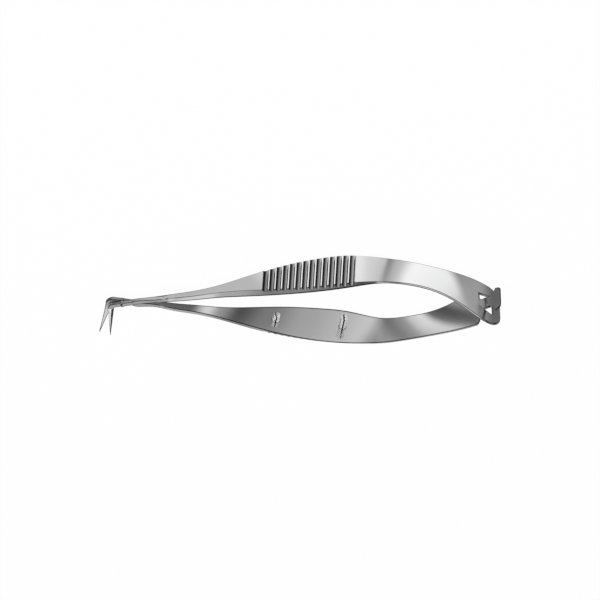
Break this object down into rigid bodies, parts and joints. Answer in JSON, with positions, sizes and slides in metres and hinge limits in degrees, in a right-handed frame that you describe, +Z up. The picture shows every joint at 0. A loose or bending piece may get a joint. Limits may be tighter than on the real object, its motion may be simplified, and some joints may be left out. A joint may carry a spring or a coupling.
{
  "type": "capsulotomy scissors",
  "caption": "Small spring-handled eye-surgery scissors with strongly angled blades, ribbed grips, inner guide pins and a tail where one leaf spring hooks through the other",
  "frame": {"origin": "Under the middle of the outline, on the surface that the scissors lie on", "axes": "+X runs back from the blades to the tail, +Y is the way the upper half opens, +Z is up, across the width of the arms"},
  "size_m": [0.0842, 0.0204, 0.0102],
  "materials": {
    "steel": "satin",
    "pin_steel": "polished"
  },
  "bodies": {
    "lower_arm": {"lower_half": "steel", "pivot_pin": "pin_steel", "stop_pin": "pin_steel", "guide_pin": "pin_steel"},
    "upper_arm": {"upper_half": "steel"}
  },
  "joints": [
    {"name": "squeeze", "type": "hinge", "parent": "lower_arm", "child": "upper_arm", "pos_m": [-0.03705, -0.0002, 0.0051], "axis": [0, 0, 1], "range_deg": [-13, 0], "stiffness_Nm_per_rad": 0.1, "deforming": ["upper_half"]}
  ]
}
